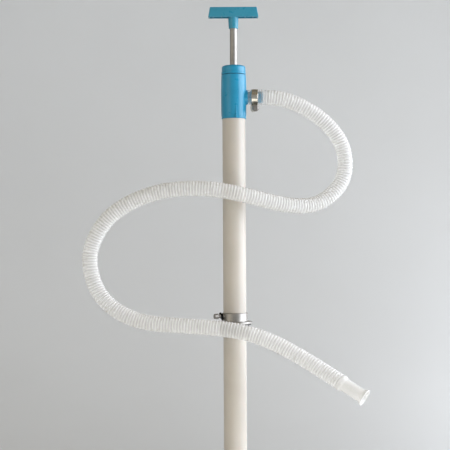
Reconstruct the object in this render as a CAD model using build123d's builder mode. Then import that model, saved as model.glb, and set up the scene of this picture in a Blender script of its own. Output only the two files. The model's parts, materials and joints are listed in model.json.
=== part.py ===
from build123d import *
import os
from math import cos, pi, radians, sin, sqrt, tan

os.makedirs("parts", exist_ok=True)

# Drum barrel pump, in millimetres. +Z is up along the pump tube and +X is the side of the outlet.
# The origin is on the tube's axis at the seat, where the adaptor's gasket meets the drum's bung.

# ---------------------------------------------------------------- driving dimensions
FIT = 0.05  # radial play of a running fit, and of pieces that are pushed together

TUBE_R = 16.0
TUBE_BORE_R = 13.5
TUBE_TOP = 302.0
TUBE_BOTTOM = -450.0

THREAD_R = 20.95  # G 1 1/4 pipe thread, over its crests
THREAD_LENGTH = 16.0
THREAD_CHAMFER = 1.2
NECK_R = 20.5  # the plain neck above the thread
FLANGE_R = 24.3
FLANGE_FLATS = 46.0
FLANGE_TOP = 5.0
FLANGE_CHAMFER = 0.6
GASKET_BORE_R = 21.1  # passes over the thread
GASKET_THICKNESS = 1.6
COLLAR_R = 17.8
COLLAR_BORE_R = 16.3
COLLAR_TOP = 16.0
POCKET_R = 19.0
POCKET_TOP = -2.2
CLIP_GROOVE_R = 19.5
CLIP_GROOVE_TOP = -13.5
CLIP_THICKNESS = 1.1
CLIP_MOUTH = 9.0
AXIAL_PLAY = 0.1

SCREW_TURN = 205.0  # direction in which the clamping screw points away from the tube, in degrees
SCREW_Z = 12.5
SCREW_R = 2.5
SCREW_TIP = 17.4
SCREW_NECK_END = 25.5
SCREW_HEAD_R = 3.6
SCREW_HEAD_END = 31.3
KNURLS = 14
KNURL_R = 0.4
LUG_R = 4.2
LUG_END = 18.8
WING_SPAN = 12.4
WING_SIZE = 3.0
WING_TILT = 42.0
WING_GAP = 0.3

HEAD_BOTTOM = 286.0
HEAD_TOP = 347.3
HEAD_BOTTOM_R = 17.2
HEAD_WAIST_R = 17.7
HEAD_TOP_R = 17.1
SPIGOT_Z = 316.0
SPIGOT_R = 8.0
SPIGOT_BARB_R = 8.5
SPIGOT_BORE_R = 6.5
SPIGOT_END = 40.7
SPIGOT_COLLAR_R = 10.4
SPIGOT_COLLAR_END = 19.4
BARBS = 3
BARB_LENGTH = 4.0
BARB_PITCH = 6.0
RIB_BOTTOM = HEAD_BOTTOM + 0.5
RIB_HEIGHT = 20.0
RIB_DEPTH = 1.5
RIB_WIDTH = 4.0
RIB_TURN = -80.0  # the first of the two ribs faces front, a little to the outlet's side

CAP_BOTTOM = 348.0
CAP_STEP = 351.5
CAP_TOP = 360.0
CAP_PLUG_BOTTOM = 335.0
CAP_THREAD_R = 14.45
GLAND_R = 8.0
GLAND_TOP = 355.0
GLAND_RING_THICKNESS = 3.0
ROD_SEAL_BOTTOM = 338.1
ROD_SEAL_GROOVE = 1.5  # depth of the groove between the seal's two lips
ROD_SEAL_TOP = 341.1

ROD_R = 5.0
ROD_SHOULDER = -316.3
STUD_R = 4.0
STUD_BOTTOM = -338.2
ROD_TOP = 432.0

BOSS_BOTTOM = 412.0
BAR_BOTTOM = 427.6
BAR_TOP = 441.6
BAR_BOTTOM_SIZE = (70.0, 15.0)
BAR_TOP_SIZE = (65.0, 13.0)
BAR_WALL = 2.0
BAR_CORNER_R = 1.2
BAR_RIBS = 6
BAR_RIB_PITCH = 11.0
BAR_RIB_WIDTH = 1.6
BOSS_BOTTOM_R = 6.5
BOSS_TOP_R = 7.2
BOSS_CORE_R = 6.4

PISTON_BOTTOM = -366.0
PISTON_R = 13.2
PISTON_SEAT = -355.0
PISTON_NECK = -346.0
PISTON_NECK_R = 10.8
PISTON_CHAMBER_R = 8.6
PISTON_PLATE = -322.0
PISTON_TOP = -318.0
PISTON_SEAT_R = 5.5
PISTON_BALL_R = 7.0
SEAL_BOTTOM = -360.0
SEAL_TOP = -352.0
SEAL_GROOVE_R = 10.9
WINDOW_WIDTH = 8.0  # of the four windows in the piston's cage
WINDOW_MARGIN = 3.0
WASHER_R = 9.0
WASHER_THICKNESS = 1.4
NUT_FLATS = 13.0
NUT_HEIGHT = 6.3
NUT_GAP = 0.2

FOOT_SEAT = -444.0
FOOT_SEAT_R = 6.0
FOOT_BALL_R = 8.0
FOOT_CHAMBER_R = 9.5
FOOT_TOP = -420.0
FOOT_FLANGE_BOTTOM = -456.0
FOOT_NECK_BOTTOM = -466.0
FOOT_NECK_R = 11.0
FOOT_PIN_Z = -423.9
FOOT_PIN_R = 1.5
STRAINER_BOTTOM = -484.0
STRAINER_R = 14.0
STRAINER_WALL = 1.8
STRAINER_SLOTS = 12
STRAINER_SLOT_SIZE = (5.0, 2.5)  # along the radius and along the rim
STRAINER_SLOT_HEIGHT = 18.0
STRAINER_FLOOR = 2.0
RING_R = 1.35
RING_CENTRE_R = 12.05
RING_Z = -435.0

HOSE_R = 11.0
CUFF_R = 10.5
CUFF_END = 41.0
BAND_START = 24.4
BAND_WIDTH = 9.0
BAND_THICKNESS = 0.7
WORM_R = 3.2
WORM_BARREL_R = 4.3
WORM_LENGTH = 13.0
WORM_SKEW = 12.0  # the housing sits a little askew on the band
WORM_COLLAR_R = 4.6
WORM_HEAD_FLATS = 7.0
WORM_HEAD_HEIGHT = 4.0
WORM_SLOT_WIDTH = 1.1
WORM_SLOT_DEPTH = 1.2
NOZZLE_LENGTH = 38.0
NOZZLE_R = 9.0
NOZZLE_BORE_R = 7.2
NOZZLE_RIM_R = 11.7
NOZZLE_RIM_THICKNESS = 2.4
NOZZLE_SHOULDER = 8.0

# The hose's route, from its cuff on the spigot to the nozzle: round to the right, back across the
# front of the tube, round to the left, along the top of the drum and out over its front edge.
hose_route = [
    (41, 0, 316),
    (59, 0, 316),
    (90, 2, 307),
    (125, 8, 286),
    (151, 14, 256),
    (158, 17, 223),
    (150, 14, 192),
    (117, 3, 165),
    (73, -15, 164),
    (14, -33, 179),
    (-31, -36, 188),
    (-77, -35, 188),
    (-112, -33, 182),
    (-151, -31, 166),
    (-180, -29, 142),
    (-198, -27, 107),
    (-198, -28, 77),
    (-186, -30, 44),
    (-160, -35, 20),
    (-122, -41, 5),
    (-62, -49, 2),
    (-1, -55, -3),
    (43, -60, -15),
    (95, -69, -43),
    (138, -90, -70),
]


def save(part, name):
    """Labels a finished piece and writes it as a STEP file of the same name."""
    part.label = name
    export_step(part, f"parts/{name}.step")


def rest_height(ball_r, seat_r):
    """Height of a ball's centre above the round edge that it rests on."""
    return sqrt(ball_r**2 - seat_r**2) + FIT


# ---------------------------------------------------------------- drum adaptor
screw_plane = Plane(
    origin=(0, 0, SCREW_Z),
    x_dir=(0, 0, 1),
    z_dir=(cos(radians(SCREW_TURN)), sin(radians(SCREW_TURN)), 0),
)

with BuildPart() as drum_adaptor:
    with BuildSketch(Plane.XY.offset(-THREAD_LENGTH)):
        Circle(THREAD_R)
    extrude(amount=THREAD_LENGTH)
    chamfer(drum_adaptor.edges().sort_by(Axis.Z)[0], THREAD_CHAMFER)
    with BuildSketch():
        Circle(NECK_R)
    extrude(amount=GASKET_THICKNESS)
    with BuildSketch(Plane.XY.offset(GASKET_THICKNESS)):
        Circle(FLANGE_R)
        Rectangle(2 * FLANGE_R, FLANGE_FLATS, mode=Mode.INTERSECT)
    extrude(amount=FLANGE_TOP - GASKET_THICKNESS)
    chamfer(drum_adaptor.faces().sort_by(Axis.Z)[-1].edges(), FLANGE_CHAMFER)
    with BuildSketch(Plane.XY.offset(GASKET_THICKNESS)):
        Circle(COLLAR_R)
    extrude(amount=COLLAR_TOP - GASKET_THICKNESS)
    with BuildSketch(screw_plane.offset(COLLAR_BORE_R - 1)):
        Circle(LUG_R)
    extrude(amount=LUG_END - COLLAR_BORE_R + 1)
    with BuildSketch(screw_plane):
        Circle(SCREW_R + FIT)
    extrude(amount=LUG_END + 1, mode=Mode.SUBTRACT)
    with BuildSketch(Plane.XZ):
        with BuildLine():
            Polyline(
                (0, -THREAD_LENGTH - 1),
                (POCKET_R, -THREAD_LENGTH - 1),
                (POCKET_R, CLIP_GROOVE_TOP - CLIP_THICKNESS - AXIAL_PLAY),
                (CLIP_GROOVE_R, CLIP_GROOVE_TOP - CLIP_THICKNESS - AXIAL_PLAY),
                (CLIP_GROOVE_R, CLIP_GROOVE_TOP),
                (POCKET_R, CLIP_GROOVE_TOP),
                (POCKET_R, POCKET_TOP),
                (COLLAR_BORE_R, POCKET_TOP),
                (COLLAR_BORE_R, COLLAR_TOP + 2),
                (0, COLLAR_TOP + 2),
                close=True,
            )
        make_face()
    revolve(axis=Axis.Z, mode=Mode.SUBTRACT)
save(drum_adaptor.part, "drum_adaptor")

with BuildPart() as adaptor_gasket:
    with BuildSketch():
        Circle(FLANGE_FLATS / 2 - 0.2)
        Circle(GASKET_BORE_R, mode=Mode.SUBTRACT)
    extrude(amount=GASKET_THICKNESS)
save(adaptor_gasket.part, "adaptor_gasket")

with BuildPart() as guide_bush:
    with BuildSketch(Plane.XY.offset(CLIP_GROOVE_TOP + AXIAL_PLAY)):
        Circle(POCKET_R - FIT)
        Circle(TUBE_R + FIT, mode=Mode.SUBTRACT)
    extrude(amount=POCKET_TOP - CLIP_GROOVE_TOP - 3 * AXIAL_PLAY)
save(guide_bush.part, "guide_bush")

with BuildPart() as bush_circlip:
    with BuildSketch(Plane.XY.offset(CLIP_GROOVE_TOP - CLIP_THICKNESS - FIT)):
        Circle(CLIP_GROOVE_R - FIT)
        Circle(TUBE_R + 1.2, mode=Mode.SUBTRACT)
        with Locations((0, -CLIP_GROOVE_R)):
            Rectangle(CLIP_MOUTH, CLIP_MOUTH, mode=Mode.SUBTRACT)
    extrude(amount=CLIP_THICKNESS)
save(bush_circlip.part, "bush_circlip")

with BuildPart() as clamp_pad:
    with BuildSketch(screw_plane.offset(TUBE_R + FIT)):
        Circle(SCREW_R)
    extrude(amount=SCREW_TIP - TUBE_R - 2 * FIT)
save(clamp_pad.part, "clamp_pad")

with BuildPart() as clamp_screw:
    with BuildSketch(screw_plane.offset(SCREW_TIP)):
        Circle(SCREW_R)
    extrude(amount=SCREW_NECK_END - SCREW_TIP)
    with BuildSketch(screw_plane.offset(SCREW_NECK_END)):
        Circle(SCREW_HEAD_R)
        with PolarLocations(SCREW_HEAD_R + KNURL_R / 4, KNURLS):
            Circle(KNURL_R, mode=Mode.SUBTRACT)
    extrude(amount=SCREW_HEAD_END - SCREW_NECK_END)
save(clamp_screw.part, "clamp_screw")

with BuildPart() as clamp_wing_nut:
    with BuildSketch(screw_plane.offset(LUG_END + WING_GAP)):
        Circle(LUG_R - WING_GAP)
        SlotOverall(WING_SPAN, WING_SIZE, rotation=WING_TILT)
        Circle(SCREW_R + FIT, mode=Mode.SUBTRACT)
    extrude(amount=WING_SIZE)
save(clamp_wing_nut.part, "clamp_wing_nut")

# ---------------------------------------------------------------- pump tube and head
with BuildPart() as pump_tube:
    with BuildSketch(Plane.XY.offset(TUBE_BOTTOM)):
        Circle(TUBE_R)
        Circle(TUBE_BORE_R, mode=Mode.SUBTRACT)
    extrude(amount=TUBE_TOP - TUBE_BOTTOM)
save(pump_tube.part, "pump_tube")

spigot_plane = Plane(origin=(0, 0, SPIGOT_Z), x_dir=(0, 1, 0), z_dir=(1, 0, 0))
side_plane = Plane(origin=(0, 0, SPIGOT_Z), x_dir=(1, 0, 0), z_dir=(0, -1, 0))
spigot_axis = Axis((0, 0, SPIGOT_Z), (1, 0, 0))

with BuildPart() as pump_head:
    with BuildSketch(Plane.XZ):
        with BuildLine():
            ThreePointArc(
                (HEAD_BOTTOM_R, HEAD_BOTTOM),
                (HEAD_WAIST_R, (HEAD_BOTTOM + HEAD_TOP) / 2),
                (HEAD_TOP_R, HEAD_TOP),
            )
            Polyline(
                (HEAD_TOP_R, HEAD_TOP), (0, HEAD_TOP), (0, HEAD_BOTTOM), (HEAD_BOTTOM_R, HEAD_BOTTOM)
            )
        make_face()
    revolve(axis=Axis.Z)
    chamfer(pump_head.edges().filter_by(GeomType.CIRCLE), 0.4)
    for turn in (RIB_TURN, RIB_TURN + 180):
        rib_plane = Plane(
            origin=(0, 0, RIB_BOTTOM),
            x_dir=(cos(radians(turn)), sin(radians(turn)), 0),
            z_dir=(sin(radians(turn)), -cos(radians(turn)), 0),
        )
        with BuildSketch(rib_plane.offset(-RIB_WIDTH / 2)):
            with BuildLine():
                Polyline(
                    (HEAD_BOTTOM_R - 1, 0),
                    (HEAD_BOTTOM_R + RIB_DEPTH, 0),
                    (HEAD_BOTTOM_R + 0.4, RIB_HEIGHT),
                    (HEAD_BOTTOM_R - 1, RIB_HEIGHT),
                    close=True,
                )
            make_face()
        extrude(amount=RIB_WIDTH)
    with BuildSketch(spigot_plane):
        Circle(SPIGOT_COLLAR_R)
    extrude(amount=SPIGOT_COLLAR_END)
    with BuildSketch(spigot_plane):
        Circle(SPIGOT_R)
    extrude(amount=SPIGOT_END)
    for barb in range(BARBS):
        barb_end = SPIGOT_END - 1 - barb * BARB_PITCH
        with BuildSketch(side_plane):
            with BuildLine():
                Polyline(
                    (barb_end - BARB_LENGTH, SPIGOT_R - 1),
                    (barb_end - BARB_LENGTH, SPIGOT_BARB_R),
                    (barb_end, SPIGOT_R),
                    (barb_end, SPIGOT_R - 1),
                    close=True,
                )
            make_face()
        revolve(axis=spigot_axis)
    with BuildSketch(Plane.XZ):
        with BuildLine():
            Polyline(
                (0, HEAD_BOTTOM - 1),
                (TUBE_R + FIT, HEAD_BOTTOM - 1),
                (TUBE_R + FIT, TUBE_TOP + 0.1),
                (TUBE_BORE_R, TUBE_TOP + 0.1),
                (TUBE_BORE_R, CAP_PLUG_BOTTOM - 1),
                (CAP_THREAD_R + FIT, CAP_PLUG_BOTTOM - 1),
                (CAP_THREAD_R + FIT, HEAD_TOP + 1),
                (0, HEAD_TOP + 1),
                close=True,
            )
        make_face()
    revolve(axis=Axis.Z, mode=Mode.SUBTRACT)
    with BuildSketch(spigot_plane.offset(1)):
        Circle(SPIGOT_BORE_R)
    extrude(amount=SPIGOT_END, mode=Mode.SUBTRACT)
save(pump_head.part, "pump_head")

with BuildPart() as head_cap:
    with BuildSketch(Plane.XY.offset(CAP_BOTTOM)):
        Circle(HEAD_TOP_R)
    extrude(amount=CAP_STEP - CAP_BOTTOM)
    chamfer(head_cap.edges(), 0.4)
    with BuildSketch(Plane.XY.offset(CAP_STEP)):
        Circle(HEAD_TOP_R - 0.5)
    extrude(amount=CAP_TOP - CAP_STEP)
    fillet(head_cap.edges().group_by(Axis.Z)[-1], 3.0)
    with BuildSketch(Plane.XY.offset(CAP_PLUG_BOTTOM)):
        Circle(CAP_THREAD_R)
    extrude(amount=CAP_BOTTOM - CAP_PLUG_BOTTOM)
    with BuildSketch(Plane.XY.offset(CAP_PLUG_BOTTOM)):
        Circle(GLAND_R)
    extrude(amount=GLAND_TOP - CAP_PLUG_BOTTOM, mode=Mode.SUBTRACT)
    with BuildSketch(Plane.XY.offset(CAP_PLUG_BOTTOM)):
        Circle(ROD_R + 0.4)
    extrude(amount=CAP_TOP - CAP_PLUG_BOTTOM + 1, mode=Mode.SUBTRACT)
save(head_cap.part, "head_cap")

with BuildPart() as cap_seal:
    with BuildSketch(Plane.XY.offset(HEAD_TOP)):
        Circle(HEAD_TOP_R - 1)
        Circle(CAP_THREAD_R + FIT, mode=Mode.SUBTRACT)
    extrude(amount=CAP_BOTTOM - HEAD_TOP)
save(cap_seal.part, "cap_seal")

with BuildPart() as rod_guide_bush:
    with BuildSketch(Plane.XY.offset(ROD_SEAL_TOP + AXIAL_PLAY)):
        Circle(GLAND_R - FIT)
        Circle(ROD_R + FIT, mode=Mode.SUBTRACT)
    extrude(amount=GLAND_TOP - ROD_SEAL_TOP - 2 * AXIAL_PLAY)
save(rod_guide_bush.part, "rod_guide_bush")

with BuildPart() as rod_seal:
    with BuildSketch(Plane.XZ):
        with BuildLine():
            Polyline(
                (ROD_R + FIT, ROD_SEAL_BOTTOM),
                (ROD_R + 0.8, ROD_SEAL_BOTTOM),
                (ROD_R + 1.4, ROD_SEAL_BOTTOM + ROD_SEAL_GROOVE),
                (GLAND_R - 0.9, ROD_SEAL_BOTTOM + ROD_SEAL_GROOVE),
                (GLAND_R - 0.7, ROD_SEAL_BOTTOM),
                (GLAND_R - FIT, ROD_SEAL_BOTTOM),
                (GLAND_R - FIT, ROD_SEAL_TOP),
                (ROD_R + FIT, ROD_SEAL_TOP),
                close=True,
            )
        make_face()
    revolve(axis=Axis.Z)
save(rod_seal.part, "rod_seal")

with BuildPart() as gland_ring:
    with BuildSketch(Plane.XY.offset(CAP_PLUG_BOTTOM)):
        Circle(GLAND_R - FIT)
        Circle(ROD_R + 0.5, mode=Mode.SUBTRACT)
    extrude(amount=GLAND_RING_THICKNESS)
save(gland_ring.part, "gland_ring")

# ---------------------------------------------------------------- foot valve
foot_ball_z = FOOT_SEAT + rest_height(FOOT_BALL_R, FOOT_SEAT_R)

with BuildPart() as foot_valve_body:
    with BuildSketch(Plane.XZ):
        with BuildLine():
            Polyline(
                (FOOT_SEAT_R, FOOT_NECK_BOTTOM),
                (FOOT_NECK_R, FOOT_NECK_BOTTOM),
                (FOOT_NECK_R, FOOT_FLANGE_BOTTOM),
                (TUBE_R, FOOT_FLANGE_BOTTOM),
                (TUBE_R, TUBE_BOTTOM),
                (TUBE_BORE_R - FIT, TUBE_BOTTOM),
                (TUBE_BORE_R - FIT, RING_Z - RING_R - AXIAL_PLAY),
                (RING_CENTRE_R - RING_R - FIT, RING_Z - RING_R - AXIAL_PLAY),
                (RING_CENTRE_R - RING_R - FIT, RING_Z + RING_R + AXIAL_PLAY),
                (TUBE_BORE_R - FIT, RING_Z + RING_R + AXIAL_PLAY),
                (TUBE_BORE_R - FIT, FOOT_TOP),
                (FOOT_CHAMBER_R, FOOT_TOP),
                (FOOT_CHAMBER_R, FOOT_SEAT),
                (FOOT_SEAT_R, FOOT_SEAT),
                close=True,
            )
        make_face()
    revolve(axis=Axis.Z)
    with BuildSketch(Plane.YZ.offset(-TUBE_R)):
        with Locations((0, FOOT_PIN_Z)):
            Circle(FOOT_PIN_R + FIT)
    extrude(amount=2 * TUBE_R, mode=Mode.SUBTRACT)
save(foot_valve_body.part, "foot_valve_body")

with BuildPart() as foot_stop_pin:
    with BuildSketch(Plane.YZ.offset(-TUBE_BORE_R + 0.4)):
        with Locations((0, FOOT_PIN_Z)):
            Circle(FOOT_PIN_R)
    extrude(amount=2 * TUBE_BORE_R - 0.8)
save(foot_stop_pin.part, "foot_stop_pin")

with BuildPart() as foot_seal:
    with BuildSketch(Plane.XZ):
        with Locations((RING_CENTRE_R, RING_Z)):
            Circle(RING_R)
    revolve(axis=Axis.Z)
save(foot_seal.part, "foot_seal")

with BuildPart() as foot_valve_ball:
    with BuildSketch(Plane.XZ):
        with Locations((0, foot_ball_z)):
            Circle(FOOT_BALL_R)
            Rectangle(
                FOOT_BALL_R, 2 * FOOT_BALL_R, align=(Align.MIN, Align.CENTER), mode=Mode.INTERSECT
            )
    revolve(axis=Axis.Z)
save(foot_valve_ball.part, "foot_valve_ball")

with BuildPart() as foot_strainer:
    with BuildSketch(Plane.XY.offset(STRAINER_BOTTOM)):
        Circle(STRAINER_R)
    extrude(amount=FOOT_FLANGE_BOTTOM - STRAINER_BOTTOM - FIT)
    fillet(foot_strainer.edges().group_by(Axis.Z)[0], 1.5)
    with BuildSketch(Plane.XY.offset(STRAINER_BOTTOM + STRAINER_FLOOR)):
        Circle(STRAINER_R - STRAINER_WALL)
    extrude(amount=FOOT_FLANGE_BOTTOM - STRAINER_BOTTOM - 5, mode=Mode.SUBTRACT)
    with BuildSketch(Plane.XY.offset(STRAINER_BOTTOM + STRAINER_FLOOR)):
        Circle(FOOT_NECK_R + FIT)
    extrude(amount=FOOT_FLANGE_BOTTOM - STRAINER_BOTTOM, mode=Mode.SUBTRACT)
    with BuildSketch(Plane.XY.offset(STRAINER_BOTTOM + 2 * STRAINER_FLOOR)):
        with PolarLocations(STRAINER_R - 1, STRAINER_SLOTS):
            Rectangle(*STRAINER_SLOT_SIZE)
    extrude(amount=STRAINER_SLOT_HEIGHT, mode=Mode.SUBTRACT)
save(foot_strainer.part, "foot_strainer")

# ---------------------------------------------------------------- piston
piston_ball_z = PISTON_SEAT + rest_height(PISTON_BALL_R, PISTON_SEAT_R)

with BuildPart() as piston_body:
    with BuildSketch(Plane.XZ):
        with BuildLine():
            Polyline(
                (PISTON_SEAT_R, PISTON_BOTTOM),
                (PISTON_R, PISTON_BOTTOM),
                (PISTON_R, SEAL_BOTTOM),
                (SEAL_GROOVE_R, SEAL_BOTTOM),
                (SEAL_GROOVE_R, SEAL_TOP),
                (PISTON_R, SEAL_TOP),
                (PISTON_R, PISTON_NECK),
                (PISTON_NECK_R, PISTON_NECK),
                (PISTON_NECK_R, PISTON_TOP),
                (STUD_R + FIT, PISTON_TOP),
                (STUD_R + FIT, PISTON_PLATE),
                (PISTON_CHAMBER_R, PISTON_PLATE),
                (PISTON_CHAMBER_R, PISTON_SEAT),
                (PISTON_SEAT_R, PISTON_SEAT),
                close=True,
            )
        make_face()
    revolve(axis=Axis.Z)
    with BuildSketch(Plane.XY.offset(PISTON_NECK + WINDOW_MARGIN)):
        Rectangle(2 * PISTON_R, WINDOW_WIDTH)
        Rectangle(WINDOW_WIDTH, 2 * PISTON_R)
        Circle(PISTON_CHAMBER_R - 0.5, mode=Mode.SUBTRACT)
    extrude(amount=PISTON_PLATE - PISTON_NECK - 2 * WINDOW_MARGIN, mode=Mode.SUBTRACT)
save(piston_body.part, "piston_body")

with BuildPart() as piston_seal:
    with BuildSketch(Plane.XZ):
        with BuildLine():
            Polyline(
                (SEAL_GROOVE_R + FIT, SEAL_BOTTOM + AXIAL_PLAY),
                (TUBE_BORE_R - 0.6, SEAL_BOTTOM + AXIAL_PLAY),
                (TUBE_BORE_R - 0.6, SEAL_BOTTOM + 2.5),
                (TUBE_BORE_R - FIT, SEAL_TOP - 1.5),
                (TUBE_BORE_R - FIT, SEAL_TOP - AXIAL_PLAY),
                (TUBE_BORE_R - 0.9, SEAL_TOP - AXIAL_PLAY),
                (TUBE_BORE_R - 1.5, SEAL_TOP - 3.5),
                (SEAL_GROOVE_R + 0.7, SEAL_TOP - 3.5),
                (SEAL_GROOVE_R + FIT, SEAL_TOP - AXIAL_PLAY),
                close=True,
            )
        make_face()
    revolve(axis=Axis.Z)
save(piston_seal.part, "piston_seal")

with BuildPart() as piston_valve_ball:
    with BuildSketch(Plane.XZ):
        with Locations((0, piston_ball_z)):
            Circle(PISTON_BALL_R)
            Rectangle(
                PISTON_BALL_R, 2 * PISTON_BALL_R, align=(Align.MIN, Align.CENTER), mode=Mode.INTERSECT
            )
    revolve(axis=Axis.Z)
save(piston_valve_ball.part, "piston_valve_ball")

# ---------------------------------------------------------------- rod and handle
with BuildPart() as piston_rod:
    with BuildSketch(Plane.XY.offset(STUD_BOTTOM)):
        Circle(STUD_R)
    extrude(amount=ROD_SHOULDER - STUD_BOTTOM)
    with BuildSketch(Plane.XY.offset(ROD_SHOULDER)):
        Circle(ROD_R)
    extrude(amount=ROD_TOP - ROD_SHOULDER)
    chamfer(piston_rod.edges().sort_by(Axis.Z)[-1], 0.6)
save(piston_rod.part, "piston_rod")

with BuildPart() as rod_washer:
    with BuildSketch(Plane.XY.offset(PISTON_TOP + NUT_GAP)):
        Circle(WASHER_R)
        Circle(STUD_R + FIT, mode=Mode.SUBTRACT)
    extrude(amount=WASHER_THICKNESS)
save(rod_washer.part, "rod_washer")

with BuildPart() as rod_nut:
    with BuildSketch(Plane.XY.offset(PISTON_PLATE - NUT_GAP)):
        RegularPolygon(NUT_FLATS / 2, 6, major_radius=False)
        Circle(STUD_R + FIT, mode=Mode.SUBTRACT)
    extrude(amount=-NUT_HEIGHT)
save(rod_nut.part, "rod_nut")

with BuildPart() as t_handle:
    with BuildSketch(Plane.XY.offset(BAR_BOTTOM)):
        RectangleRounded(*BAR_BOTTOM_SIZE, BAR_CORNER_R)
    with BuildSketch(Plane.XY.offset(BAR_TOP)):
        RectangleRounded(*BAR_TOP_SIZE, BAR_CORNER_R)
    loft()
    fillet(t_handle.edges().group_by(Axis.Z)[-1], 0.8)
    with BuildSketch(Plane.XY.offset(BAR_BOTTOM)):
        Rectangle(BAR_BOTTOM_SIZE[0] - 2 * BAR_WALL, BAR_BOTTOM_SIZE[1] - 2 * BAR_WALL)
    with BuildSketch(Plane.XY.offset(BAR_TOP - BAR_WALL)):
        Rectangle(BAR_TOP_SIZE[0] - 2 * BAR_WALL, BAR_TOP_SIZE[1] - 2 * BAR_WALL)
    loft(mode=Mode.SUBTRACT)
    with BuildSketch(Plane.XY.offset(BAR_BOTTOM + 1)):
        with GridLocations(BAR_RIB_PITCH, 0, BAR_RIBS, 1):
            Rectangle(BAR_RIB_WIDTH, BAR_TOP_SIZE[1] - BAR_WALL)
    extrude(amount=BAR_TOP - BAR_BOTTOM - 2)
    with BuildSketch(Plane.XY.offset(BOSS_BOTTOM)):
        Circle(BOSS_BOTTOM_R)
    with BuildSketch(Plane.XY.offset(BAR_BOTTOM + 1)):
        Circle(BOSS_TOP_R)
    loft()
    with BuildSketch(Plane.XY.offset(BAR_BOTTOM)):
        Circle(BOSS_CORE_R)
    extrude(amount=BAR_TOP - BAR_BOTTOM - 1)
    with BuildSketch(Plane.XY.offset(BOSS_BOTTOM - 1)):
        Circle(ROD_R + FIT)
    extrude(amount=ROD_TOP - BOSS_BOTTOM + 1.1, mode=Mode.SUBTRACT)
save(t_handle.part, "t_handle")

# ---------------------------------------------------------------- hose
with BuildPart() as hose_inlet_cuff:
    with BuildSketch(spigot_plane.offset(SPIGOT_COLLAR_END + FIT)):
        Circle(CUFF_R)
        Circle(SPIGOT_BARB_R + FIT, mode=Mode.SUBTRACT)
    extrude(amount=CUFF_END - SPIGOT_COLLAR_END - FIT)
save(hose_inlet_cuff.part, "hose_inlet_cuff")

with BuildPart() as hose_clamp_band:
    with BuildSketch(spigot_plane.offset(BAND_START)):
        Circle(CUFF_R + FIT + BAND_THICKNESS)
        Circle(CUFF_R + FIT, mode=Mode.SUBTRACT)
    extrude(amount=BAND_WIDTH)
save(hose_clamp_band.part, "hose_clamp_band")

band_outer_r = CUFF_R + FIT + BAND_THICKNESS
worm_centre = (BAND_START + BAND_WIDTH / 2, 0, SPIGOT_Z - band_outer_r - WORM_BARREL_R - 0.1)
worm_plane = Plane(
    origin=worm_centre,
    x_dir=(0, 0, 1),
    z_dir=(sin(radians(WORM_SKEW)), -cos(radians(WORM_SKEW)), 0),
)

with BuildPart() as hose_clamp_housing:
    with BuildSketch(worm_plane.offset(-WORM_LENGTH / 2)):
        Circle(WORM_BARREL_R)
        with Locations((WORM_BARREL_R / 2 + 1, 0)):
            Rectangle(WORM_BARREL_R + 2, 2 * WORM_BARREL_R)
    extrude(amount=WORM_LENGTH)
    with BuildSketch(spigot_plane.offset(BAND_START - 10)):
        Circle(band_outer_r + FIT)
    extrude(amount=BAND_WIDTH + 20, mode=Mode.SUBTRACT)
    with BuildSketch(worm_plane.offset(-WORM_LENGTH)):
        Circle(WORM_R + FIT)
    extrude(amount=2 * WORM_LENGTH, mode=Mode.SUBTRACT)
save(hose_clamp_housing.part, "hose_clamp_housing")

with BuildPart() as hose_clamp_screw:
    with BuildSketch(worm_plane.offset(-WORM_LENGTH / 2)):
        Circle(WORM_R)
    extrude(amount=WORM_LENGTH + 1)
    with BuildSketch(worm_plane.offset(WORM_LENGTH / 2 + 0.4)):
        Circle(WORM_COLLAR_R)
    extrude(amount=0.9)
    with BuildSketch(worm_plane.offset(WORM_LENGTH / 2 + 1)):
        RegularPolygon(WORM_HEAD_FLATS / 2, 6, major_radius=False)
    extrude(amount=WORM_HEAD_HEIGHT)
    with BuildSketch(worm_plane.offset(WORM_LENGTH / 2 + 1 + WORM_HEAD_HEIGHT - WORM_SLOT_DEPTH)):
        Rectangle(2 * WORM_COLLAR_R, WORM_SLOT_WIDTH)
    extrude(amount=WORM_SLOT_DEPTH + 1, mode=Mode.SUBTRACT)
save(hose_clamp_screw.part, "hose_clamp_screw")

corners = [Vector(*point) for point in hose_route]
radii = []
for before, corner, after in zip(corners, corners[1:], corners[2:]):
    shorter = min((corner - before).length, (after - corner).length)
    turn = (corner - before).get_angle(after - corner)
    radii.append(0.45 * shorter / tan(radians(turn) / 2))
print("hose radii, mm:", [round(radius) for radius in radii])

with BuildPart() as delivery_hose:
    with BuildLine() as hose_line:
        FilletPolyline(*corners, radius=radii)
    with BuildSketch(Plane(origin=corners[0], z_dir=corners[1] - corners[0])):
        Circle(HOSE_R)
    sweep()
hose_length = hose_line.wire().length
print("hose length, mm:", round(hose_length))
hose_section = pi * HOSE_R**2
print("hose volume over section x length:", delivery_hose.part.volume / (hose_section * hose_length))
save(delivery_hose.part, "delivery_hose")

nozzle_dir = (corners[-1] - corners[-2]).normalized()
nozzle_plane = Plane(origin=corners[-1], z_dir=nozzle_dir)
nozzle_side = Plane(
    origin=corners[-1],
    x_dir=nozzle_plane.x_dir,
    z_dir=nozzle_dir.cross(nozzle_plane.x_dir),
)

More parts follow.
